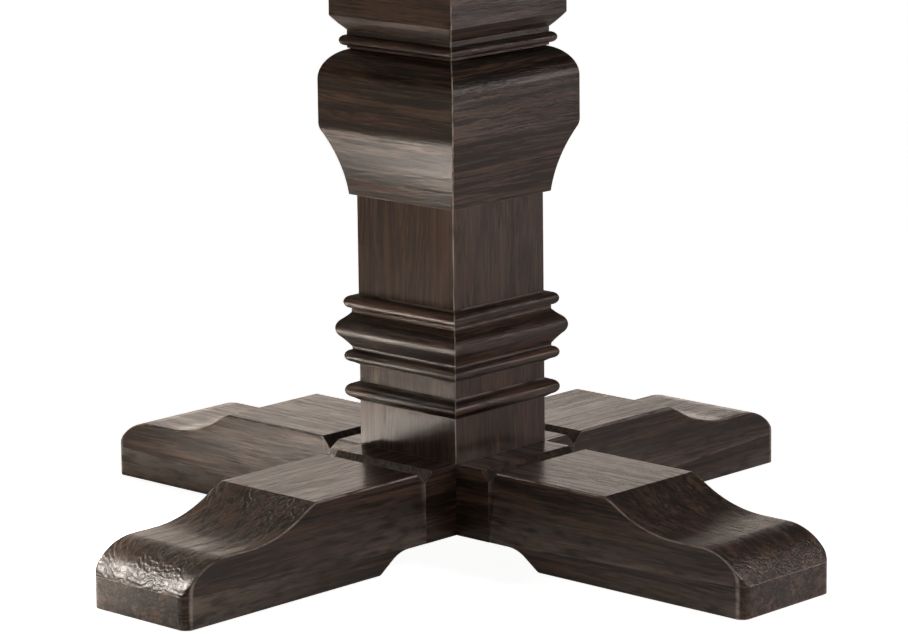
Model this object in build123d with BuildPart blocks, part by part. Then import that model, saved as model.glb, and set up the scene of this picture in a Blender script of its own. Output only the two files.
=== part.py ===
"""Pedestal table base in dark oak: a square boxed column on four cross feet.

Millimetres. +Z is up, the origin is on the floor below the column's axis, and the four feet
run along +X, -X, +Y and -Y. "front" is -Y, "back" is +Y, "left" is -X and "right" is +X.
"""

import os
from math import asin, cos, degrees, isclose, radians, sin, tan

from build123d import *

os.makedirs("parts", exist_ok=True)

# Whole base
base_height = 720.0
foot_reach = 500.0
column_side = 152.0
column_half = column_side / 2

# Hub of two crossed beams, with one foot butted to each of its four ends
hub_bottom = 23.5
hub_top = 106.5
hub_reach = 126.0
seam_chamfer = 13.0
lap_height = (hub_bottom + hub_top) / 2

# Foot, drawn in side view as distance from the column's axis and height
glide_proud = 1.5
toe_start = 300.0
slope_radius = 168.0
slope_angle = 30.5
toe_height = 73.5
toe_hollow_end = 405.0
nose_radius = 71.0
nose_angle = 60.0
heel = 203.0
heel_angle = 35.0
heel_hollow_radius = 45.0
heel_corner_radius = 8.0
toe_corner_radius = 13.0

# Boxed column
board_thickness = 25.0
cavity_half = column_half - board_thickness
column_top = 670.0
block_height = 60.0

# Mouldings, as distance of each surface from the column's axis
neck = 82.0
bead_tip = 88.7

# Capital
capital_bottom = 402.0
capital_top = 571.5
capital_half = 106.4
capital_belly_top = 536.0
capital_belly_bottom = 486.5
capital_shoulder_radius = 36.0
capital_break = (104.9, 478.0)
capital_hollow = (92.5, 448.0)
capital_foot = 82.5

# Cap above the capital
cap_bead = (574.3, 586.8)
crown_bottom = 592.6
crown_fillet_bottom = 609.5
crown_half = 96.3
crown_ovolo = (89.0, 600.2)

# Band of three mouldings at mid height
band_top = 285.3
band_upper_bead = (268.5, 283.6)
collar_top = 266.0
collar_bottom = 220.8
collar_tip = (95.8, 245.3)
collar_shoulder_high = (91.1, 255.2)
collar_shoulder_low = (91.6, 235.3)
collar_neck = 2.2
collar_hollow = 0.5
band_lower_bead = (205.2, 219.7)
band_bottom = 201.8

# Lowest bead
base_bead_bottom = 159.3
base_bead = (163.0, 180.0)
base_bead_top = 182.2

# Crossed bearers that carry the top
bearer_length = 700.0
bearer_width = 90.0
bearer_taper_run = 60.0
bearer_taper_rise = 22.0
bearer_lap = (column_top + base_height) / 2
top_screw_circle = 540.0
top_screw_hole = 8.0
top_screw_recess = 20.0
top_screw_recess_depth = 18.0

# Tie rod from the hub to the bearers
rod_diameter = 12.0
rod_hole = 13.0
rod_bottom = 27.0
rod_top = 718.0
rod_recess = 44.0
rod_recess_bottom_depth = 20.0
rod_recess_top_depth = 17.0
rod_washer_diameter = 37.0
rod_washer_thickness = 3.0
rod_nut_flats = 19.0
rod_nut_height = 10.0

# One bolt and two dowels across each seam between hub and foot
bolt_diameter = 10.0
bolt_hole = 11.0
bolt_start = 91.0
bolt_end = 196.0
bolt_height = 55.0
pocket_start = 78.0
pocket_end = 106.0
pocket_width = 32.0
pocket_top = 72.0
bolt_washer_diameter = 25.0
bolt_washer_thickness = 2.5
bolt_nut_flats = 17.0
bolt_nut_height = 8.0
dowel_diameter = 12.0
dowel_half_length = 30.0
dowel_spread = 45.0
dowel_height = 64.0

# Screws that hold the bearers down on the column
screw_diameter = 5.0
screw_offset = 34.0
screw_top = 717.0
screw_bottom = 640.0
screw_head_diameter = 10.0
screw_head_bottom = 713.0

# Glides under the toes
glide_diameter = 30.0
glide_thickness = 3.5
glide_radius = 458.0
glide_spread = 50.0

sides = {"right": 0, "back": 90, "left": 180, "front": 270}
hexagon_sides = 6
tolerance = 0.01


def side_plane(angle):
    """Upright plane through the axis: local X points out towards one side, local Y points up."""
    outward = Vector(1, 0, 0).rotate(Axis.Z, angle)
    return Plane(origin=(0, 0, 0), x_dir=outward, z_dir=outward.cross(Vector(0, 0, 1)))


def cross_plane(angle, distance):
    """Plane square to one side's outward direction, with local Y up, at a distance from the axis."""
    outward = Vector(1, 0, 0).rotate(Axis.Z, angle)
    return Plane(origin=outward * distance, x_dir=Vector(0, 0, 1).cross(outward), z_dir=outward)


def save(piece, label):
    piece.part.label = label
    export_step(piece.part, f"parts/{label}.step")


def outline_column_board():
    Polyline(
        (cavity_half, hub_top),
        (column_half, hub_top),
        (column_half, column_top),
        (cavity_half, column_top),
        close=True,
    )


def outline_capital():
    """Swelling shoulder above, plain belly, and a long hollow down to a square foot."""
    belly = Line((capital_half, capital_belly_bottom), (capital_half, capital_belly_top))
    sweep = degrees(asin((capital_top - capital_belly_top) / capital_shoulder_radius))
    shoulder = JernArc(belly @ 1, (0, 1), capital_shoulder_radius, sweep)
    top = Line(shoulder @ 1, (column_half, capital_top))
    back = Line(top @ 1, (column_half, capital_bottom))
    foot = Line(back @ 1, (capital_foot, capital_bottom))
    hollow = ThreePointArc(foot @ 1, capital_hollow, capital_break)
    TangentArc(belly @ 0, hollow @ 1, tangent=(0, -1))


def outline_bead(bottom, top, bead, foot_depth, head_depth):
    """Half-round bead on a backing strip; the strip's ends are plain necks or slope to the column."""
    below = [(column_half, bottom), (foot_depth, bottom), (neck, bead[0])]
    above = [(neck, bead[1]), (head_depth, top), (column_half, top)]
    if foot_depth == column_half:
        below.pop(0)
    if head_depth == column_half:
        above.pop()
    Polyline(*below)
    ThreePointArc(below[-1], (bead_tip, (bead[0] + bead[1]) / 2), above[0])
    Polyline(*above)
    Line(above[-1], below[0])


def outline_crown():
    """Quarter-round below a plain square fascia."""
    ThreePointArc((neck, crown_bottom), crown_ovolo, (crown_half, crown_fillet_bottom))
    Polyline(
        (crown_half, crown_fillet_bottom),
        (crown_half, column_top),
        (column_half, column_top),
        (column_half, crown_bottom),
        (neck, crown_bottom),
    )


def hollow_point(start, end, depth):
    """Point at the middle of a chord, moved towards the column by a depth."""
    middle = (Vector(*start) + Vector(*end)) / 2
    return (middle.X - depth, middle.Y)


def outline_collar():
    """Bold torus between two shallow hollows."""
    low = (neck, collar_bottom + collar_neck)
    high = (neck, collar_top - collar_neck)
    Polyline(low, (neck, collar_bottom), (column_half, collar_bottom))
    Polyline((column_half, collar_bottom), (column_half, collar_top), (neck, collar_top), high)
    ThreePointArc(high, hollow_point(high, collar_shoulder_high, collar_hollow), collar_shoulder_high)
    ThreePointArc(collar_shoulder_high, collar_tip, collar_shoulder_low)
    ThreePointArc(collar_shoulder_low, hollow_point(collar_shoulder_low, low, collar_hollow), low)


def mitred_ring(prefix, outline, *values):
    """Four equal lengths with one profile, mitred at the column's corners."""
    for side, angle in sides.items():
        plane = side_plane(angle)
        with BuildPart() as length:
            with BuildSketch(plane):
                with BuildLine():
                    outline(*values)
                make_face()
            extrude(amount=capital_half, both=True)
            split(bisect_by=Plane((0, 0, 0), z_dir=plane.x_dir - plane.z_dir), keep=Keep.TOP)
            split(bisect_by=Plane((0, 0, 0), z_dir=plane.x_dir + plane.z_dir), keep=Keep.TOP)
        save(length, f"{prefix}_{side}")


def bolt_places():
    """The bolt of a seam, in a cross plane."""
    return [(0, bolt_height)]


def dowel_places():
    """The two dowels of a seam, one on each side of its bolt, in a cross plane."""
    return [(-dowel_spread, dowel_height), (dowel_spread, dowel_height)]


def outline_foot():
    """Side view: ogee toe above, hollowed heel below, and half of the seam's groove at the inner end."""
    half_chord = nose_radius * sin(radians(nose_angle))
    nose_centre = (foot_reach - half_chord, toe_height - nose_radius)
    nose = CenterArc(nose_centre, nose_radius, 90 - nose_angle, nose_angle)
    flat = Line(nose @ 1, (toe_hollow_end, toe_height))
    slope = JernArc(flat @ 1, (-1, 0), slope_radius, -slope_angle)
    shoulder = TangentArc(slope @ 1, (toe_start, hub_top), tangent=slope % 1)
    fall = radians(heel_angle)
    radii = heel_hollow_radius + heel_corner_radius
    straight_drop = hub_bottom - glide_proud - radii * (1 - cos(fall))
    heel_run = radii * sin(fall) + straight_drop / tan(fall)
    inner = Polyline(
        shoulder @ 1,
        (hub_reach + seam_chamfer, hub_top),
        (hub_reach, hub_top - seam_chamfer),
        (hub_reach, hub_bottom),
        (heel - heel_run, hub_bottom),
    )
    hollow = JernArc(inner @ 1, (1, 0), heel_hollow_radius, -heel_angle)
    straight = Line(hollow @ 1, hollow @ 1 + (hollow % 1) * (straight_drop / sin(fall)))
    corner = JernArc(straight @ 1, straight % 1, heel_corner_radius, heel_angle)
    Polyline(corner @ 1, (foot_reach, glide_proud), nose @ 0)


def outline_foot_plan():
    """Top view with the two toe corners rounded."""
    with Locations(((hub_reach + foot_reach) / 2, 0)):
        plan = Rectangle(foot_reach - hub_reach, column_side)
    fillet(plan.vertices().sort_by(Axis.X)[-2:], radius=toe_corner_radius)


def make_foot(label, angle):
    with BuildPart() as foot:
        with BuildSketch(side_plane(angle)):
            with BuildLine():
                outline_foot()
            make_face()
        extrude(amount=column_half, both=True)
        with BuildSketch(Plane.XY.rotated((0, 0, angle))):
            outline_foot_plan()
        extrude(amount=hub_top, mode=Mode.INTERSECT)
        with BuildSketch(cross_plane(angle, hub_reach)):
            with Locations(*bolt_places()):
                Circle(bolt_diameter / 2)
        extrude(amount=bolt_end - hub_reach, mode=Mode.SUBTRACT)
        with BuildSketch(cross_plane(angle, hub_reach)):
            with Locations(*dowel_places()):
                Circle(dowel_diameter / 2)
        extrude(amount=dowel_half_length, mode=Mode.SUBTRACT)
        with BuildSketch(Plane.XY.rotated((0, 0, angle))):
            with Locations((glide_radius, -glide_spread), (glide_radius, glide_spread)):
                Circle(glide_diameter / 2)
        extrude(amount=glide_thickness, mode=Mode.SUBTRACT)
    save(foot, label)


def is_top_end(edge):
    """True for the level edge across a hub beam's end at its top."""
    middle = edge.center()
    reach = max(abs(middle.X), abs(middle.Y))
    return isclose(middle.Z, hub_top, abs_tol=tolerance) and isclose(reach, hub_reach, abs_tol=tolerance)


def hub_beam(label, angles, lap_bottom, recess_depth):
    """Beam halved over the other beam, with chamfered ends and a pocket behind each bolt."""
    half_height = lap_height - hub_bottom
    pocket_middle = (pocket_start + pocket_end) / 2
    with BuildPart() as beam:
        with BuildSketch(side_plane(angles[0])):
            with Locations((0, lap_height)):
                Rectangle(2 * hub_reach, 2 * half_height)
            with Locations((0, lap_bottom + half_height / 2)):
                Rectangle(column_side, half_height, mode=Mode.SUBTRACT)
        extrude(amount=column_half, both=True)
        chamfer(beam.edges().filter_by(is_top_end), length=seam_chamfer)
        for angle in angles:
            with BuildSketch(Plane.XY.offset(hub_bottom).rotated((0, 0, angle))):
                with Locations((pocket_middle, 0)):
                    Rectangle(pocket_end - pocket_start, pocket_width)
            extrude(amount=pocket_top - hub_bottom, mode=Mode.SUBTRACT)
            with BuildSketch(cross_plane(angle, hub_reach)):
                with Locations(*bolt_places()):
                    Circle(bolt_hole / 2)
            extrude(amount=pocket_end - hub_reach, mode=Mode.SUBTRACT)
            with BuildSketch(cross_plane(angle, hub_reach)):
                with Locations(*dowel_places()):
                    Circle(dowel_diameter / 2)
            extrude(amount=-dowel_half_length, mode=Mode.SUBTRACT)
        with BuildSketch():
            Circle(rod_hole / 2)
        extrude(amount=base_height, mode=Mode.SUBTRACT)
        if recess_depth:
            with BuildSketch(Plane.XY.offset(hub_bottom)):
                Circle(rod_recess / 2)
            extrude(amount=recess_depth, mode=Mode.SUBTRACT)
    save(beam, label)


def screw_places():
    """The four screws that hold the bearers down, in plan."""
    return [(screw_offset, 0), (-screw_offset, 0), (0, screw_offset), (0, -screw_offset)]


def column_block(label, bottom, screw_depth):
    """Glue block that fills one end of the boxed column, bored for the tie rod."""
    with BuildPart() as block:
        with BuildSketch(Plane.XY.offset(bottom)):
            Rectangle(2 * cavity_half, 2 * cavity_half)
            Circle(rod_hole / 2, mode=Mode.SUBTRACT)
        extrude(amount=block_height)
        if screw_depth:
            with BuildSketch(Plane.XY.offset(bottom + block_height)):
                with Locations(*screw_places()):
                    Circle(screw_diameter / 2)
            extrude(amount=-screw_depth, mode=Mode.SUBTRACT)
    save(block, label)


def outline_bearer():
    """Side view with the underside tapered up to each end."""
    half = bearer_length / 2
    taper_start = half - bearer_taper_run
    end_bottom = column_top + bearer_taper_rise
    Polyline(
        (half, base_height),
        (half, end_bottom),
        (taper_start, column_top),
        (-taper_start, column_top),
        (-half, end_bottom),
        (-half, base_height),
        close=True,
    )


def bearer(label, angle, lap_bottom, is_upper):
    """Bearer halved over the other bearer, with a recessed hole for a screw up into the top."""
    half_height = bearer_lap - column_top
    reach = top_screw_circle / 2
    with BuildPart() as beam:
        with BuildSketch(side_plane(angle)):
            with BuildLine():
                outline_bearer()
            make_face()
            with Locations((0, lap_bottom + half_height / 2)):
                Rectangle(bearer_width, half_height, mode=Mode.SUBTRACT)
        extrude(amount=bearer_width / 2, both=True)
        underside = Plane.XY.offset(column_top).rotated((0, 0, angle))
        for diameter, depth in (
            (top_screw_hole, base_height - column_top),
            (top_screw_recess, top_screw_recess_depth),
        ):
            with BuildSketch(underside):
                with Locations((reach, 0), (-reach, 0)):
                    Circle(diameter / 2)
            extrude(amount=depth, mode=Mode.SUBTRACT)
        with BuildSketch(underside):
            Circle(rod_hole / 2)
            with Locations(*screw_places()):
                Circle(screw_diameter / 2)
        extrude(amount=base_height - column_top, mode=Mode.SUBTRACT)
        if is_upper:
            with BuildSketch(Plane.XY.offset(base_height)):
                Circle(rod_recess / 2)
            extrude(amount=-rod_recess_top_depth, mode=Mode.SUBTRACT)
            with BuildSketch(Plane.XY.offset(screw_head_bottom)):
                with Locations(*screw_places()):
                    Circle(screw_head_diameter / 2)
            extrude(amount=base_height - screw_head_bottom, mode=Mode.SUBTRACT)
    save(beam, label)


def draw_washer(diameter, hole):
    Circle(diameter / 2)
    Circle(hole / 2, mode=Mode.SUBTRACT)


def draw_hex_nut(flats, hole):
    RegularPolygon(flats / 2, hexagon_sides, major_radius=False)
    Circle(hole / 2, mode=Mode.SUBTRACT)


def seam_group(label, start, end, places, draw, *sizes):
    """Like solids at every seam, from one distance from the axis out to another."""
    with BuildPart() as group:
        for angle in sides.values():
            with BuildSketch(cross_plane(angle, start)):
                with Locations(*places):
                    draw(*sizes)
            extrude(amount=end - start)
    save(group, label)


def axis_group(label, spans, draw, *sizes):
    """Like solids on the column's axis, each from one height up to another."""
    with BuildPart() as group:
        for bottom, top in spans:
            with BuildSketch(Plane.XY.offset(bottom)):
                draw(*sizes)
            extrude(amount=top - bottom)
    save(group, label)


def bearer_screws():
    with BuildPart() as screws:
        with BuildSketch(Plane.XY.offset(screw_bottom)):
            with Locations(*screw_places()):
                Circle(screw_diameter / 2)
        extrude(amount=screw_head_bottom - screw_bottom)
        with BuildSketch(Plane.XY.offset(screw_head_bottom)):
            with Locations(*screw_places()):
                Circle(screw_head_diameter / 2)
        extrude(amount=screw_top - screw_head_bottom)
    save(screws, "bearer_screws")


def toe_glides():
    with BuildPart() as glides:
        for angle in sides.values():
            with BuildSketch(Plane.XY.rotated((0, 0, angle))):
                with Locations((glide_radius, -glide_spread), (glide_radius, glide_spread)):
                    Circle(glide_diameter / 2)
            extrude(amount=glide_thickness)
    save(glides, "toe_glides")


mitred_ring("column_board", outline_column_board)
mitred_ring("capital_board", outline_capital)
mitred_ring(
    "cap_bead", outline_bead, capital_top, crown_bottom, cap_bead, neck, neck
)
mitred_ring("crown_board", outline_crown)
mitred_ring(
    "band_upper_bead", outline_bead, collar_top, band_top, band_upper_bead, neck, column_half
)
mitred_ring("band_collar", outline_collar)
mitred_ring(
    "band_lower_bead", outline_bead, band_bottom, collar_bottom, band_lower_bead, column_half, neck
)
mitred_ring(
    "base_bead", outline_bead, base_bead_bottom, base_bead_top, base_bead, column_half, column_half
)

hub_beam("hub_beam_lower", (sides["right"], sides["left"]), lap_height, rod_recess_bottom_depth)
hub_beam("hub_beam_upper", (sides["back"], sides["front"]), hub_bottom, 0)
for side, side_angle in sides.items():
    make_foot(f"foot_{side}", side_angle)

column_block("column_base_block", hub_top, 0)
column_block("column_top_block", column_top - block_height, column_top - screw_bottom)
bearer("bearer_upper", sides["right"], column_top, True)
bearer("bearer_lower", sides["front"], bearer_lap, False)

rod_washer_low = hub_bottom + rod_recess_bottom_depth - rod_washer_thickness
rod_washer_high = base_height - rod_recess_top_depth
rod_nut_low = rod_washer_low - rod_nut_height
rod_nut_high = rod_washer_high + rod_washer_thickness
axis_group("tie_rod", [(rod_bottom, rod_top)], Circle, rod_diameter / 2)
axis_group(
    "tie_rod_washers",
    [
        (rod_washer_low, rod_washer_low + rod_washer_thickness),
        (rod_washer_high, rod_nut_high),
    ],
    draw_washer,
    rod_washer_diameter,
    rod_hole,
)
axis_group(
    "tie_rod_nuts",
    [(rod_nut_low, rod_washer_low), (rod_nut_high, rod_nut_high + rod_nut_height)],
    draw_hex_nut,
    rod_nut_flats,
    rod_diameter,
)

bolt_washer_start = pocket_end - bolt_washer_thickness
bolt_nut_start = bolt_washer_start - bolt_nut_height
seam_group("seam_bolts", bolt_start, bolt_end, bolt_places(), Circle, bolt_diameter / 2)
seam_group(
    "seam_bolt_washers",
    bolt_washer_start,
    pocket_end,
    bolt_places(),
    draw_washer,
    bolt_washer_diameter,
    bolt_hole,
)
seam_group(
    "seam_bolt_nuts",
    bolt_nut_start,
    bolt_washer_start,
    bolt_places(),
    draw_hex_nut,
    bolt_nut_flats,
    bolt_diameter,
)
seam_group(
    "seam_dowels",
    hub_reach - dowel_half_length,
    hub_reach + dowel_half_length,
    dowel_places(),
    Circle,
    dowel_diameter / 2,
)
bearer_screws()
toe_glides()
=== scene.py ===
"""Dark oak pedestal base: eased and mitred meshes around the CAD frame, with procedural finishes."""

import math
import random

import bmesh
import bpy
from mathutils import Matrix, Vector


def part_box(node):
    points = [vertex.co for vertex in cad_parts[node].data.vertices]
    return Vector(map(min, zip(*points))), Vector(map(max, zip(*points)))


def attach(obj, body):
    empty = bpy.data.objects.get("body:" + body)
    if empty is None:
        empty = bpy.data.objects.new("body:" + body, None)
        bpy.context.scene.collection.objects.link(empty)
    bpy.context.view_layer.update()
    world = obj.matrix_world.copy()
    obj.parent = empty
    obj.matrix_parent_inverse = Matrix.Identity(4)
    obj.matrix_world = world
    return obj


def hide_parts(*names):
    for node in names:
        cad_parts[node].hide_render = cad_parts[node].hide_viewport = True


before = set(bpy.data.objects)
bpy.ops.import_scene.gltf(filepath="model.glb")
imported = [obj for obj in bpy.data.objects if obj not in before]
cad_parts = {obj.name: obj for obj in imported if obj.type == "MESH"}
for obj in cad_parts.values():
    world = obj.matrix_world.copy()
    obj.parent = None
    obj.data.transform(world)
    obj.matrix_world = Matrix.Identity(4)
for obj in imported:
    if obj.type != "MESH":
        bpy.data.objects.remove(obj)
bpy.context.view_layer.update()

# Metres throughout
MM = 0.001
ANGLES = {"right": 0, "back": 90, "left": 180, "front": 270}

# Camera, as fitted to the photograph
IMAGE_WIDTH = 908
FOCAL_PIXELS = 4272.0
CAMERA_DISTANCE = 4.8286
CAMERA_HEIGHT = 1.2865
CAMERA_AZIMUTH = -45.941
CAMERA_ASIDE = -0.04725
CAMERA_TURN = -0.594
CAMERA_PITCH = 12.052
CAMERA_ROLL = -0.711
SENSOR_WIDTH = 36

# Directions along the floor, away from the camera and to its right
AWAY = (-0.69, 0.72, 0)
RIGHTWARD = (0.72, 0.69, 0)
FLOOR_REACH = 12

# Outlines taken from the CAD nodes, with angles in degrees
STRAIGHT_TURN = 0.3
CORNER_TURN = 22
SHARP_TURN = 35
STEP_TURN = 8
ARC_STEP = 4 * MM
LONG_RUN = 2.2
WELD = 0.01 * MM

# Easing of edges
ARRIS = 1.5 * MM
MOULDING_EASE = 0.5 * MM
FOOT_EASE = 2.2 * MM
FOOT_BOTTOM_EASE = 1.0 * MM
FOOT_CORNER_SHARE = 1.1
FOOT_CORNER_LEVEL = 30 * MM
TOE_CORNER = 13 * MM
TOE_BLEND = 4
SEAM_EASE = 0.35 * MM
SEAM_REACH = 20 * MM
CAD_EASE = 0.8 * MM
FILLET_STEPS = 4
FILLET_SHARE = 0.45

# Planes that cut the CAD nodes where no bore passes
MOULDING_CUT = 11 * MM
FOOT_CUT = 20 * MM

# Growth rings: their spacing, and the feet's piths as lean, place aside and height
RING_SPACING = 5.5 * MM
PITHS = {
    "foot_front": (0.03, 0.01, 0.26),
    "foot_right": (-0.05, -0.06, 0.30),
    "foot_left": (0.04, 0.05, -0.12),
    "foot_back": (-0.03, 0.04, -0.10),
}

# How strongly the rings stand out on end grain
USUAL_RELIEF = 0.2
RELIEFS = {"foot_front": 1.2, "foot_right": 0.8, "foot_left": 1.8, "capital_board_front": 0.5}

# How strong the streaks are, where they are fainter than usual
FIGURES = {"column_board_right": 0.35, "column_board_front": 0.6}

RINGS = (
    "column_board",
    "capital_board",
    "cap_bead",
    "crown_board",
    "band_upper_bead",
    "band_collar",
    "band_lower_bead",
    "base_bead",
)


def side_axes(side):
    """Outward and sideways directions of one side of the base."""
    angle = math.radians(ANGLES[side])
    out = Vector((math.cos(angle), math.sin(angle), 0))
    return out, Vector((-out.y, out.x, 0))


def turn_angle(before, here, after):
    """Signed turn in degrees at a point of an outline, positive where it is convex."""
    one, two = here - before, after - here
    return math.degrees(math.atan2(one.x * two.y - one.y * two.x, one.dot(two)))


def neighbours(points):
    """Each point of a closed outline with the one before and the one after."""
    return zip(points[-1:] + points[:-1], points, points[1:] + points[:1])


def section(node, side, distance):
    """Outline of a CAD node in an upright plane beside one side's centre plane, anticlockwise."""
    out, across = side_axes(side)
    mesh = bmesh.new()
    mesh.from_mesh(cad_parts[node].data)
    bmesh.ops.remove_doubles(mesh, verts=mesh.verts, dist=WELD)
    bmesh.ops.bisect_plane(
        mesh,
        geom=mesh.verts[:] + mesh.edges[:] + mesh.faces[:],
        plane_co=across * distance,
        plane_no=across,
        clear_inner=True,
        clear_outer=True,
    )
    bmesh.ops.remove_doubles(mesh, verts=mesh.verts, dist=WELD)
    mesh.verts.ensure_lookup_table()
    first = mesh.verts[0]
    edge = first.link_edges[0]
    vert = edge.other_vert(first)
    loop = [first]
    while vert is not first:
        loop.append(vert)
        edge = next(e for e in vert.link_edges if e is not edge)
        vert = edge.other_vert(vert)
    points = [Vector((v.co.dot(out), v.co.z)) for v in loop]
    mesh.free()
    if sum(a.x * b.y - b.x * a.y for a, b in zip(points, points[1:] + points[:1])) < 0:
        points.reverse()
    return [p for a, p, b in neighbours(points) if abs(turn_angle(a, p, b)) > STRAIGHT_TURN]


def tangent_at(before, here, after):
    """Direction of a smooth outline at a point; a much longer neighbour is taken as a straight run."""
    one, two = here - before, after - here
    if one.length > LONG_RUN * two.length:
        return one.normalized()
    if two.length > LONG_RUN * one.length:
        return two.normalized()
    return (one.normalized() * two.length + two.normalized() * one.length).normalized()


def smooth_arcs(points):
    """Outline with curved runs between its points where it turns gently."""
    tangents = []
    for before, here, after in neighbours(points):
        corner = abs(turn_angle(before, here, after)) > CORNER_TURN
        tangents.append(None if corner else tangent_at(before, here, after))
    dense = []
    for index, start in enumerate(points):
        following = (index + 1) % len(points)
        end = points[following]
        chord = end - start
        along = chord.normalized()
        leave, arrive = tangents[index], tangents[following]
        if leave is None and arrive is None:
            leave = arrive = along
        elif leave is None:
            leave = 2 * along.dot(arrive) * along - arrive
        elif arrive is None:
            arrive = 2 * along.dot(leave) * along - leave
        bend = math.degrees(leave.angle(arrive, 0))
        steps = math.ceil(chord.length / ARC_STEP) if bend > 1 else 1
        steps = max(steps, math.ceil(bend / STEP_TURN))
        for step in range(steps):
            t = step / steps
            dense.append(
                (2 * t**3 - 3 * t**2 + 1) * start
                + (t**3 - 2 * t**2 + t) * chord.length * leave
                + (3 * t**2 - 2 * t**3) * end
                + (t**3 - t**2) * chord.length * arrive
            )
    return dense


def ease_corners(points, radius_at):
    """Outline with its convex corners rounded, and how much each point belongs to such an edge."""
    eased = []
    for before, here, after in neighbours(points):
        turn = turn_angle(before, here, after)
        if turn < CORNER_TURN:
            eased.append((here, 0.0))
            continue
        reach = radius_at(here) * math.tan(math.radians(turn) / 2)
        shorter = min((here - before).length, (after - here).length)
        reach = min(reach, FILLET_SHARE * shorter)
        start = here + (before - here).normalized() * reach
        end = here + (after - here).normalized() * reach
        for step in range(FILLET_STEPS + 1):
            t = step / FILLET_STEPS
            point = (1 - t) ** 2 * start + 2 * t * (1 - t) * here + t**2 * end
            eased.append((point, 1 - abs(2 * t - 1)))
    return eased


def outward_normals(points):
    """Outward direction at each point of a closed anticlockwise outline."""
    normals = []
    for before, _, after in neighbours(points):
        along = (after - before).normalized()
        normals.append(Vector((along.y, -along.x)))
    return normals


def swept_mesh(name, rows):
    """Closed mesh from rows of (place, wear_and_highlight), one row for each point of an outline; the
    second value sets how much painted edge highlight and real edge wear a point gets.
    """
    mesh = bmesh.new()
    wear_and_highlight = mesh.verts.layers.float.new("arris")
    grid = []
    for row in rows:
        grid.append([mesh.verts.new(place) for place, _ in row])
        for vert, (_, amount) in zip(grid[-1], row):
            vert[wear_and_highlight] = amount
    for row, following in zip(grid, grid[1:] + grid[:1]):
        for a, b, c, d in zip(row, row[1:], following[1:], following):
            mesh.faces.new((a, b, c, d))
    mesh.faces.new([row[0] for row in grid])
    mesh.faces.new([row[-1] for row in reversed(grid)])
    bmesh.ops.remove_doubles(mesh, verts=mesh.verts, dist=WELD)
    bmesh.ops.dissolve_degenerate(mesh, edges=mesh.edges, dist=WELD)
    bmesh.ops.recalc_face_normals(mesh, faces=mesh.faces)
    data = bpy.data.meshes.new(name)
    mesh.to_mesh(data)
    mesh.free()
    data.shade_smooth()
    data.set_sharp_from_angle(angle=math.radians(SHARP_TURN))
    piece = bpy.data.objects.new(name, data)
    bpy.context.scene.collection.objects.link(piece)
    weigh_normals(piece)
    return piece


def weigh_normals(piece):
    """Keeps flat faces flat in the shading beside their eased edges."""
    modifier = piece.modifiers.new("flat_faces", "WEIGHTED_NORMAL")
    modifier.keep_sharp = True
    modifier.weight = 80


def place_piece(piece, material, node):
    """Dresses a new mesh and puts it in the place of a CAD node."""
    piece.data.materials.append(material)
    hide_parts(node)
    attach(piece, "root")


def mitred_piece(node, side):
    """One length of a moulding, its arrises rounded up to the mitre planes."""
    out, across = side_axes(side)
    points = smooth_arcs(section(node, side, MOULDING_CUT))
    back = min(p.x for p in points)
    sweep = [math.radians(a) for a in (-45, -30, -15, 0, 0, 15, 30, 45)]
    rows = []
    for point, edge in ease_corners(points, lambda p: MOULDING_EASE if p.x > back + MM else 0):
        radius = ARRIS * min(1, (point.x - back) / (2 * MM))
        row = []
        for index, angle in enumerate(sweep):
            hand = -1 if index < len(sweep) / 2 else 1
            depth = point.x - radius + radius * math.cos(angle)
            aside = hand * (point.x - radius) + radius * math.sin(angle)
            place = out * depth + across * aside + Vector((0, 0, point.y))
            row.append((place, max(edge, abs(math.sin(2 * angle)))))
        rows.append(row)
    return swept_mesh(f"oak_{node}", rows)


def corner_radius(point, seam):
    """Rounding of one corner of the foot's side view, a little more than that of its long edges."""
    if point.x < seam + SEAM_REACH:
        return SEAM_EASE
    return FOOT_CORNER_SHARE * (FOOT_EASE if point.y > FOOT_CORNER_LEVEL else FOOT_BOTTOM_EASE)


def foot_radius(point, normal, seam):
    """How far the foot's long edges are rounded at one point of its side view."""
    if normal.x < -0.5 and point.x < seam + SEAM_REACH:
        return SEAM_EASE
    return FOOT_BOTTOM_EASE + (FOOT_EASE - FOOT_BOTTOM_EASE) * min(1, max(0, 1 + normal.y))


def foot_piece(node, side):
    """One foot, rounded along its outline and, in plan, at the toe's two corners."""
    out, across = side_axes(side)
    half_width = foot_half_width(node, across)
    points = smooth_arcs(section(node, side, FOOT_CUT))
    seam = min(p.x for p in points)
    tip = max(p.x for p in points)
    eased = ease_corners(points, lambda p: corner_radius(p, seam))
    normals = outward_normals([p for p, _ in eased])
    toe_steps = [TOE_CORNER * (1 - math.sin(math.radians(a))) for a in (0, 13, 26, 39)]
    edge_turns = [math.radians(a) for a in (0, 22.5, 45, 67.5, 90)]
    rows = []
    for (point, edge), normal in zip(eased, normals):
        radius = foot_radius(point, normal, seam)
        columns = [(half_width - step, 0.0) for step in toe_steps]
        columns += [(half_width - radius * (1 - math.sin(turn)), turn) for turn in edge_turns]
        half_row = []
        for aside, turn in columns:
            inward = point - normal * radius * (1 - math.cos(turn))
            beyond = aside - (half_width - TOE_CORNER)
            plan_drop = TOE_CORNER - math.sqrt(max(0, TOE_CORNER**2 - beyond**2))
            drop = (plan_drop**TOE_BLEND + (tip - inward.x) ** TOE_BLEND) ** (1 / TOE_BLEND)
            # How much of the painted edge highlight and edge wear this point of the foot gets
            wear_and_highlight = max(edge, abs(math.sin(2 * turn)))
            half_row.append((out * (tip - drop) + Vector((0, 0, inward.y)), aside, wear_and_highlight))
        row = [(place - across * aside, wear_and_highlight) for place, aside, wear_and_highlight in reversed(half_row)]
        row += [(place + across * aside, wear_and_highlight) for place, aside, wear_and_highlight in half_row]
        rows.append(row)
    return swept_mesh(f"oak_{node}", rows)


def foot_half_width(node, across):
    low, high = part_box(node)
    return abs((high - low).dot(across)) / 2


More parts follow.
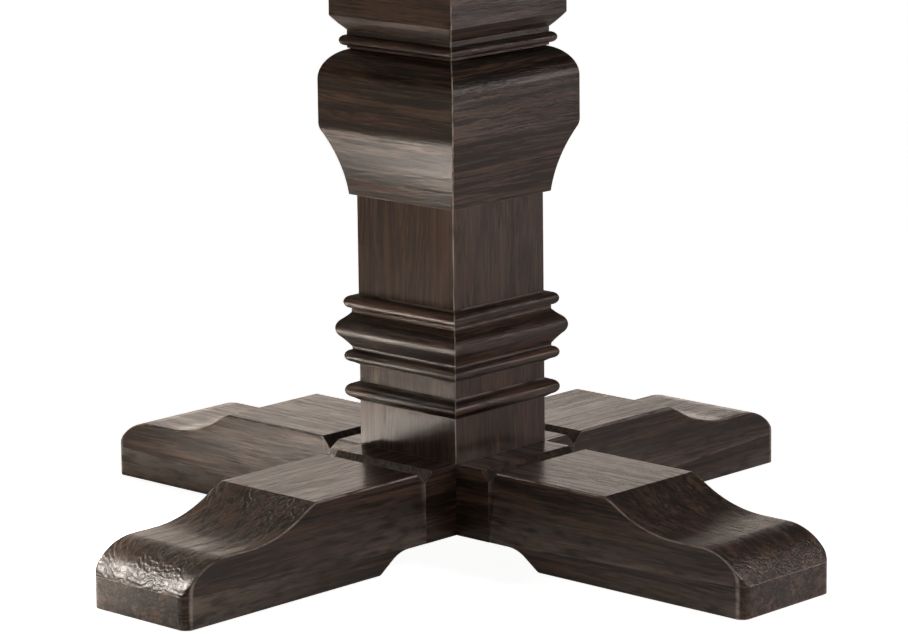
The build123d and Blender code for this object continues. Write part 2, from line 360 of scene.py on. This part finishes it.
def ease_cad_edges(node):
    """Rounds a CAD node's edges by modifiers alone."""
    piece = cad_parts[node]
    weld = piece.modifiers.new("weld", "WELD")
    weld.merge_threshold = WELD
    planar = piece.modifiers.new("flat_faces_whole", "DECIMATE")
    planar.decimate_type = "DISSOLVE"
    planar.angle_limit = math.radians(0.5)
    ease = piece.modifiers.new("eased_edges", "BEVEL")
    ease.width = CAD_EASE
    ease.segments = 3
    ease.limit_method = "ANGLE"
    ease.angle_limit = math.radians(30)
    ease.harden_normals = True
    piece.data.shade_smooth()
    weigh_normals(piece)


def add_node(tree, kind, inputs=None, **settings):
    """New shader node; an input is a value or the socket that feeds it."""
    node = tree.nodes.new(kind)
    for name, value in settings.items():
        setattr(node, name, value)
    for name, value in (inputs or {}).items():
        socket = node.inputs[name]
        if isinstance(value, bpy.types.NodeSocket):
            tree.links.new(value, socket)
        else:
            socket.default_value = value
    return node


def calculate(tree, operation, *values):
    inputs = dict(enumerate(values))
    return add_node(tree, "ShaderNodeMath", inputs, operation=operation).outputs[0]


def stretch(tree, vector, scale):
    return add_node(
        tree, "ShaderNodeVectorMath", {0: vector, 1: scale}, operation="MULTIPLY"
    ).outputs[0]


def dot(tree, vector, direction):
    return add_node(
        tree, "ShaderNodeVectorMath", {0: vector, 1: direction}, operation="DOT_PRODUCT"
    ).outputs["Value"]


def noise(tree, vector, scale, detail=2.0, rough=0.5):
    """Noise from 0 to 1, with a different scale along each axis."""
    return add_node(
        tree,
        "ShaderNodeTexNoise",
        {"Vector": stretch(tree, vector, scale), "Scale": 1.0, "Detail": detail, "Roughness": rough},
    ).outputs["Fac"]


def remap(tree, value, low, high, to_low=0.0, to_high=1.0):
    return add_node(
        tree,
        "ShaderNodeMapRange",
        {"Value": value, "From Min": low, "From Max": high, "To Min": to_low, "To Max": to_high},
        interpolation_type="SMOOTHSTEP",
    ).outputs[0]


def mix_colour(tree, factor, one, two, blend="MIX"):
    node = add_node(tree, "ShaderNodeMix", data_type="RGBA", blend_type=blend)
    for index, value in ((0, factor), (6, one), (7, two)):
        if isinstance(value, bpy.types.NodeSocket):
            tree.links.new(value, node.inputs[index])
        else:
            node.inputs[index].default_value = value
    return node.outputs[2]


def oak_grain_group():
    """Growth rings round a pith line along X, pores and streaks; gives colour, roughness and height."""
    tree = bpy.data.node_groups.new("oak_grain", "ShaderNodeTree")
    tree.interface.new_socket("Vector", in_out="INPUT", socket_type="NodeSocketVector")
    tree.interface.new_socket("Pith", in_out="INPUT", socket_type="NodeSocketVector")
    tree.interface.new_socket("Figure", in_out="INPUT", socket_type="NodeSocketFloat")
    for name, kind in (
        ("Color", "NodeSocketColor"),
        ("Roughness", "NodeSocketFloat"),
        ("Height", "NodeSocketFloat"),
        ("Swell", "NodeSocketFloat"),
    ):
        tree.interface.new_socket(name, in_out="OUTPUT", socket_type=kind)
    given = tree.nodes.new("NodeGroupInput").outputs
    place = given["Vector"]

    split = add_node(tree, "ShaderNodeSeparateXYZ", {0: place}).outputs
    pith = add_node(tree, "ShaderNodeSeparateXYZ", {0: given["Pith"]}).outputs
    sway = calculate(tree, "SUBTRACT", noise(tree, place, (5, 12, 12), 2), 0.5)
    sway = calculate(tree, "MULTIPLY", sway, 0.034)
    lean = calculate(tree, "MULTIPLY", split[0], pith[0])
    across = calculate(tree, "ADD", calculate(tree, "SUBTRACT", split[1], pith[1]), lean)
    deep = calculate(tree, "ADD", calculate(tree, "SUBTRACT", split[2], pith[2]), sway)
    squares = [calculate(tree, "MULTIPLY", reach, reach) for reach in (across, deep)]
    radius = calculate(tree, "SQRT", calculate(tree, "ADD", *squares))
    uneven = calculate(tree, "MULTIPLY", noise(tree, place, (7, 45, 45), 3, 0.6), 4.2)
    count = calculate(tree, "ADD", calculate(tree, "MULTIPLY", radius, 1 / RING_SPACING), uneven)
    ring = calculate(tree, "FRACT", count)
    early = calculate(tree, "MULTIPLY", remap(tree, ring, 0.0, 0.25), remap(tree, ring, 0.85, 0.35))
    patchy = remap(tree, noise(tree, place, (9, 26, 26), 2), 0.36, 0.60, 0.1, 1.0)
    early = calculate(tree, "MULTIPLY", early, patchy)

    pores = remap(tree, noise(tree, place, (55, 1150, 1150), 2, 0.5), 0.50, 0.66)
    strong_pores = calculate(tree, "MULTIPLY", pores, remap(tree, early, 0.0, 0.7, 0.22, 1.0))
    fibres = noise(tree, place, (22, 420, 420), 3, 0.6)
    streaks = remap(tree, noise(tree, place, (3, 60, 60), 5, 0.7), 0.42, 0.60, -0.5, 0.5)
    streaks = calculate(tree, "MULTIPLY", streaks, given["Figure"])
    streaks = calculate(tree, "ADD", streaks, 0.5)
    clouds = remap(tree, noise(tree, place, (4, 13, 13), 3, 0.6), 0.42, 0.62)

    lines = remap(tree, noise(tree, place, (5, 130, 130), 4, 0.75), 0.53, 0.45)
    lines = calculate(tree, "MULTIPLY", lines, given["Figure"])
    brown = mix_colour(tree, streaks, (0.004, 0.0020, 0.0015, 1), (0.115, 0.0670, 0.0440, 1))
    brown = mix_colour(tree, calculate(tree, "MULTIPLY", clouds, 0.5), brown, (0.085, 0.0370, 0.0210, 1))
    brown = mix_colour(tree, remap(tree, fibres, 0.46, 0.66, 0.0, 0.7), brown, (0.110, 0.062, 0.042, 1))
    brown = mix_colour(tree, calculate(tree, "MULTIPLY", lines, 0.9), brown, (0.004, 0.0020, 0.0014, 1))
    dark = mix_colour(tree, calculate(tree, "MULTIPLY", early, 0.6), brown, (0.007, 0.0036, 0.0027, 1))
    filled = calculate(tree, "MULTIPLY", strong_pores, 0.65)
    colour = mix_colour(tree, filled, dark, (0.004, 0.0022, 0.0018, 1))

    roughness = calculate(tree, "ADD", calculate(tree, "MULTIPLY", strong_pores, 0.25), 0.30)
    roughness = calculate(tree, "ADD", roughness, calculate(tree, "MULTIPLY", lines, 0.12))
    roughness = calculate(tree, "ADD", roughness, calculate(tree, "MULTIPLY", clouds, 0.10))
    height = calculate(tree, "SUBTRACT", 1.0, calculate(tree, "MULTIPLY", strong_pores, 0.5))
    height = calculate(tree, "ADD", height, calculate(tree, "MULTIPLY", fibres, 0.35))
    height = calculate(tree, "SUBTRACT", height, calculate(tree, "MULTIPLY", lines, 0.5))
    swell = calculate(tree, "MULTIPLY", early, -1.0)
    waves = calculate(tree, "MULTIPLY", noise(tree, place, (6, 22, 22), 2), 1.1)
    swell = calculate(tree, "ADD", swell, waves)
    add_node(
        tree,
        "NodeGroupOutput",
        {"Color": colour, "Roughness": roughness, "Height": height, "Swell": swell},
    )
    return tree


def bump(tree, height, depth, strength, under=None):
    inputs = {"Height": height, "Strength": strength, "Distance": depth}
    if under:
        inputs["Normal"] = under
    return add_node(tree, "ShaderNodeBump", inputs).outputs[0]


def dark_oak(name, grain, pith, shift, relief, figure):
    """Espresso-stained oak under gloss lacquer. grain is the direction of its fibres."""
    material = bpy.data.materials.new(name)
    material.use_nodes = True
    tree = material.node_tree
    tree.nodes.clear()
    turns = {"x": (0, 0, 0), "y": (0, 0, math.radians(-90)), "z": (0, math.radians(90), 0)}
    place = add_node(
        tree,
        "ShaderNodeMapping",
        {
            "Vector": add_node(tree, "ShaderNodeTexCoord").outputs["Object"],
            "Rotation": turns[grain],
            "Location": (shift, 0, 0),
        },
    ).outputs[0]
    wood = add_node(tree, "ShaderNodeGroup", node_tree=GRAIN)
    tree.links.new(place, wood.inputs["Vector"])
    wood.inputs["Pith"].default_value = pith
    wood.inputs["Figure"].default_value = figure
    arris = add_node(tree, "ShaderNodeAttribute", attribute_name="arris").outputs["Fac"]
    # Eased edges are painted a pale tan. This is partly real edge wear, where the stain is rubbed
    # through in patches, and partly a painted highlight that stands in for the sheen along the arrises.
    patches = remap(tree, noise(tree, place, (30, 120, 120), 3), 0.30, 0.60, 0.15, 1.0)
    edge_wear_and_highlight = calculate(tree, "MULTIPLY", calculate(tree, "POWER", arris, 1.6), patches)
    edge_wear_and_highlight = calculate(tree, "MULTIPLY", edge_wear_and_highlight, 0.85)
    colour = mix_colour(tree, edge_wear_and_highlight, wood.outputs["Color"], (0.72, 0.62, 0.54, 1))
    fibre = {"x": (1, 0, 0), "y": (0, 1, 0), "z": (0, 0, 1)}[grain]
    facing = add_node(tree, "ShaderNodeTexCoord").outputs["Normal"]
    end_grain = calculate(tree, "ABSOLUTE", dot(tree, facing, fibre))
    raised = remap(tree, end_grain, 0.1, 0.5, 0.1 * relief, 0.5 * relief)
    swell = bump(tree, wood.outputs["Swell"], 0.5 * MM, raised)
    fine = bump(tree, wood.outputs["Height"], 0.4 * MM, 0.5, swell)
    coat = bump(tree, wood.outputs["Height"], 0.3 * MM, 0.6, swell)
    shader = add_node(
        tree,
        "ShaderNodeBsdfPrincipled",
        {
            "Base Color": colour,
            "Roughness": wood.outputs["Roughness"],
            "IOR": 1.42,
            "Specular Tint": (1.0, 0.86, 0.76, 1),
            "Coat Weight": 0.50,
            "Coat Roughness": 0.14,
            "Coat IOR": 1.45,
            "Normal": fine,
            "Coat Normal": coat,
        },
    )
    tree.links.new(shader.outputs[0], add_node(tree, "ShaderNodeOutputMaterial").inputs[0])
    return material


def piece_oak(node, grain):
    """Oak with its own pith line, so that no two pieces share a grain pattern."""
    draw = random.Random(node)
    if node in PITHS:
        lean, aside, height = PITHS[node]
    else:
        lean = draw.uniform(-0.05, 0.05)
        aside = draw.choice((-1, 1)) * draw.uniform(0.1, 0.25)
        height = draw.uniform(0.25, 0.6)
    pith, shift = (lean, aside, height), draw.uniform(-3, 3)
    relief, figure = RELIEFS.get(node, USUAL_RELIEF), FIGURES.get(node, 1.0)
    return dark_oak(f"dark_oak_{node}", grain, pith, shift, relief, figure)


def plain_finish(name, colour, metallic, roughness, fibre):
    """Simple finish with fine streaks along Z in its roughness, colour and height."""
    material = bpy.data.materials.new(name)
    material.use_nodes = True
    tree = material.node_tree
    tree.nodes.clear()
    place = add_node(tree, "ShaderNodeTexCoord").outputs["Object"]
    streaks = noise(tree, place, fibre, 3)
    darker = tuple(0.7 * c for c in colour) + (1,)
    shader = add_node(
        tree,
        "ShaderNodeBsdfPrincipled",
        {
            "Base Color": mix_colour(tree, streaks, darker, colour + (1,)),
            "Metallic": metallic,
            "Roughness": remap(tree, streaks, 0.2, 0.8, roughness - 0.08, roughness + 0.08),
            "Normal": bump(tree, streaks, 0.1 * MM, 0.3),
        },
    )
    tree.links.new(shader.outputs[0], add_node(tree, "ShaderNodeOutputMaterial").inputs[0])
    return material


def finish_cad(material, *nodes):
    for node in nodes:
        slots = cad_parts[node].data.materials
        slots.clear()
        slots.append(material)


def add_camera():
    """Camera at the photograph's place, aimed by its azimuth, pitch and roll."""
    azimuth = math.radians(CAMERA_AZIMUTH)
    out = Vector((math.cos(azimuth), math.sin(azimuth), 0))
    aside = Vector((-out.y, out.x, 0))
    aim_azimuth = azimuth + math.radians(CAMERA_TURN)
    pitch, roll = math.radians(CAMERA_PITCH), math.radians(CAMERA_ROLL)
    aim = Vector((
        -math.cos(aim_azimuth) * math.cos(pitch),
        -math.sin(aim_azimuth) * math.cos(pitch),
        -math.sin(pitch),
    ))
    level = aim.cross(Vector((0, 0, 1))).normalized()
    upright = level.cross(aim)
    right = level * math.cos(roll) + upright * math.sin(roll)
    up = upright * math.cos(roll) - level * math.sin(roll)
    data = bpy.data.cameras.new("camera")
    data.sensor_width = SENSOR_WIDTH
    data.lens = FOCAL_PIXELS / IMAGE_WIDTH * SENSOR_WIDTH
    data.clip_end = 100
    camera = bpy.data.objects.new("camera", data)
    place = out * CAMERA_DISTANCE + aside * CAMERA_ASIDE + Vector((0, 0, CAMERA_HEIGHT))
    camera.matrix_world = Matrix.Translation(place) @ Matrix((right, up, -aim)).transposed().to_4x4()
    bpy.context.scene.collection.objects.link(camera)
    bpy.context.scene.camera = camera


def add_softbox(name, place, aim, size, power, colour, spread):
    """Area lamp at a place, facing another, with a grid that keeps its beam within the spread."""
    data = bpy.data.lights.new(name, "AREA")
    data.shape = "RECTANGLE"
    data.size, data.size_y = size
    data.energy = power
    data.color = colour
    data.spread = math.radians(spread)
    lamp = bpy.data.objects.new(name, data)
    lamp.location = place
    lamp.rotation_euler = (Vector(aim) - Vector(place)).to_track_quat("-Z", "Y").to_euler()
    lamp.visible_camera = False
    bpy.context.scene.collection.objects.link(lamp)


def add_world():
    """Dim room with a bright strip low behind the base; the camera sees plain white."""
    world = bpy.data.worlds.new("studio")
    world.use_nodes = True
    bpy.context.scene.world = world
    tree = world.node_tree
    tree.nodes.clear()
    direction = add_node(tree, "ShaderNodeTexCoord").outputs["Generated"]
    height = add_node(tree, "ShaderNodeSeparateXYZ", {0: direction}).outputs[2]
    behind = dot(tree, direction, AWAY)
    rightward = dot(tree, direction, RIGHTWARD)
    tilted = calculate(tree, "ADD", height, calculate(tree, "MULTIPLY", rightward, 0.5))
    backdrop = remap(tree, tilted, 0.243, 0.262, 1.0, 0.0)
    backdrop = calculate(tree, "MULTIPLY", backdrop, remap(tree, behind, 0.3, 0.7))
    low = remap(tree, height, 0.06, 0.24, 0.26, 0.012)
    glow = calculate(tree, "ADD", low, calculate(tree, "MULTIPLY", backdrop, 1.5))
    glow = calculate(tree, "ADD", glow, remap(tree, behind, 0.0, 0.6, 0.0, 0.08))
    camera_ray = add_node(tree, "ShaderNodeLightPath").outputs["Is Camera Ray"]
    tint = remap(tree, rightward, -0.6, 0.6)
    tint = mix_colour(tree, tint, (1.0, 0.84, 0.68, 1), (1.0, 0.89, 0.84, 1))
    tint = mix_colour(tree, camera_ray, tint, (1, 1, 1, 1))
    strength = calculate(tree, "MAXIMUM", glow, camera_ray)
    background = add_node(tree, "ShaderNodeBackground", {"Color": tint, "Strength": strength})
    tree.links.new(background.outputs[0], add_node(tree, "ShaderNodeOutputWorld").inputs[0])


def add_floor():
    """Pale floor that shows white to the camera, apart from the base's shadow."""
    data = bpy.data.meshes.new("floor")
    corners = [(FLOOR_REACH * x, FLOOR_REACH * y, 0) for x, y in ((-1, -1), (1, -1), (1, 1), (-1, 1))]
    data.from_pydata(corners, [], [(0, 1, 2, 3)])
    floor = bpy.data.objects.new("floor", data)
    bpy.context.scene.collection.objects.link(floor)
    material = bpy.data.materials.new("pale_floor")
    material.use_nodes = True
    tree = material.node_tree
    tree.nodes.clear()
    matte = add_node(tree, "ShaderNodeBsdfDiffuse", {"Color": (0.86, 0.86, 0.86, 1)}).outputs[0]
    rays = add_node(tree, "ShaderNodeLightPath").outputs
    seen = calculate(tree, "MULTIPLY", rays["Is Camera Ray"], 0.94)
    mirrored = calculate(tree, "MAXIMUM", rays["Is Glossy Ray"], rays["Is Transmission Ray"])
    lift = calculate(tree, "MAXIMUM", seen, calculate(tree, "MULTIPLY", mirrored, 0.25))
    place = add_node(tree, "ShaderNodeTexCoord").outputs["Object"]
    rightward = remap(tree, dot(tree, place, RIGHTWARD), -0.5, 0.5)
    tint = mix_colour(tree, rightward, (1.0, 0.86, 0.70, 1), (1.0, 0.88, 0.86, 1))
    tint = mix_colour(tree, rays["Is Camera Ray"], tint, (1, 1, 1, 1))
    glow = add_node(tree, "ShaderNodeEmission", {"Color": tint, "Strength": lift}).outputs[0]
    both = add_node(tree, "ShaderNodeAddShader", {0: matte, 1: glow}).outputs[0]
    tree.links.new(both, add_node(tree, "ShaderNodeOutputMaterial").inputs[0])
    data.materials.append(material)


GRAIN = oak_grain_group()
add_camera()
add_world()
add_floor()
for lamp, place, aim, size, power, colour, spread in (
    ("toe_softbox", (-0.733, -0.842, 0.64), (0, -0.5, 0.05), (0.40, 0.26), 0.42, (1.0, 0.95, 0.90), 36),
    ("end_softbox", (-0.14, -1.15, 1.25), (-0.12, -0.61, 0), (0.16, 0.12), 0.20, (1.0, 0.94, 0.88), 12),
    ("floor_softbox", (-0.40, -0.75, 1.4), (-0.39, -0.43, 0), (0.32, 0.2), 3.7, (1.0, 0.92, 0.84), 19),
    ("right_softbox", (1.9, 1.2, 0.6), (0.6, 0.5, 0.05), (1.4, 0.6), 7.5, (1.0, 0.92, 0.92), 180),
    ("nose_softbox", (1.15, 0.55, 1.05), (0.47, 0, 0.05), (0.4, 0.4), 0.38, (1.0, 0.92, 0.90), 34),
    ("front_softbox", (1.45, -1.52, 0.75), (0, 0, 0.40), (0.25, 0.5), 0.20, (1.0, 0.92, 0.86), 19),
):
    add_softbox(lamp, place, aim, size, power, colour, spread)
bpy.context.scene.view_settings.view_transform = "Standard"

for ring in RINGS:
    for side in ANGLES:
        node = f"{ring}_{side}"
        level_grain = "y" if side in ("right", "left") else "x"
        grain = "z" if ring == "column_board" else level_grain
        place_piece(mitred_piece(node, side), piece_oak(node, grain), node)
for side in ANGLES:
    node = f"foot_{side}"
    grain = "x" if side in ("right", "left") else "y"
    place_piece(foot_piece(node, side), piece_oak(node, grain), node)
for node, grain in (
    ("hub_beam_lower", "x"),
    ("hub_beam_upper", "y"),
    ("bearer_upper", "x"),
    ("bearer_lower", "y"),
):
    ease_cad_edges(node)
    finish_cad(piece_oak(node, grain), node)

finish_cad(
    plain_finish("bare_wood", (0.55, 0.40, 0.25), 0.0, 0.6, (300, 300, 12)),
    "column_base_block",
    "column_top_block",
    "seam_dowels",
)
finish_cad(
    plain_finish("zinc_steel", (0.62, 0.62, 0.60), 1.0, 0.3, (900, 900, 90)),
    "tie_rod",
    "tie_rod_nuts",
    "tie_rod_washers",
    "seam_bolts",
    "seam_bolt_nuts",
    "seam_bolt_washers",
    "bearer_screws",
)
finish_cad(plain_finish("glide_plastic", (0.05, 0.05, 0.05), 0.0, 0.5, (400, 400, 400)), "toe_glides")
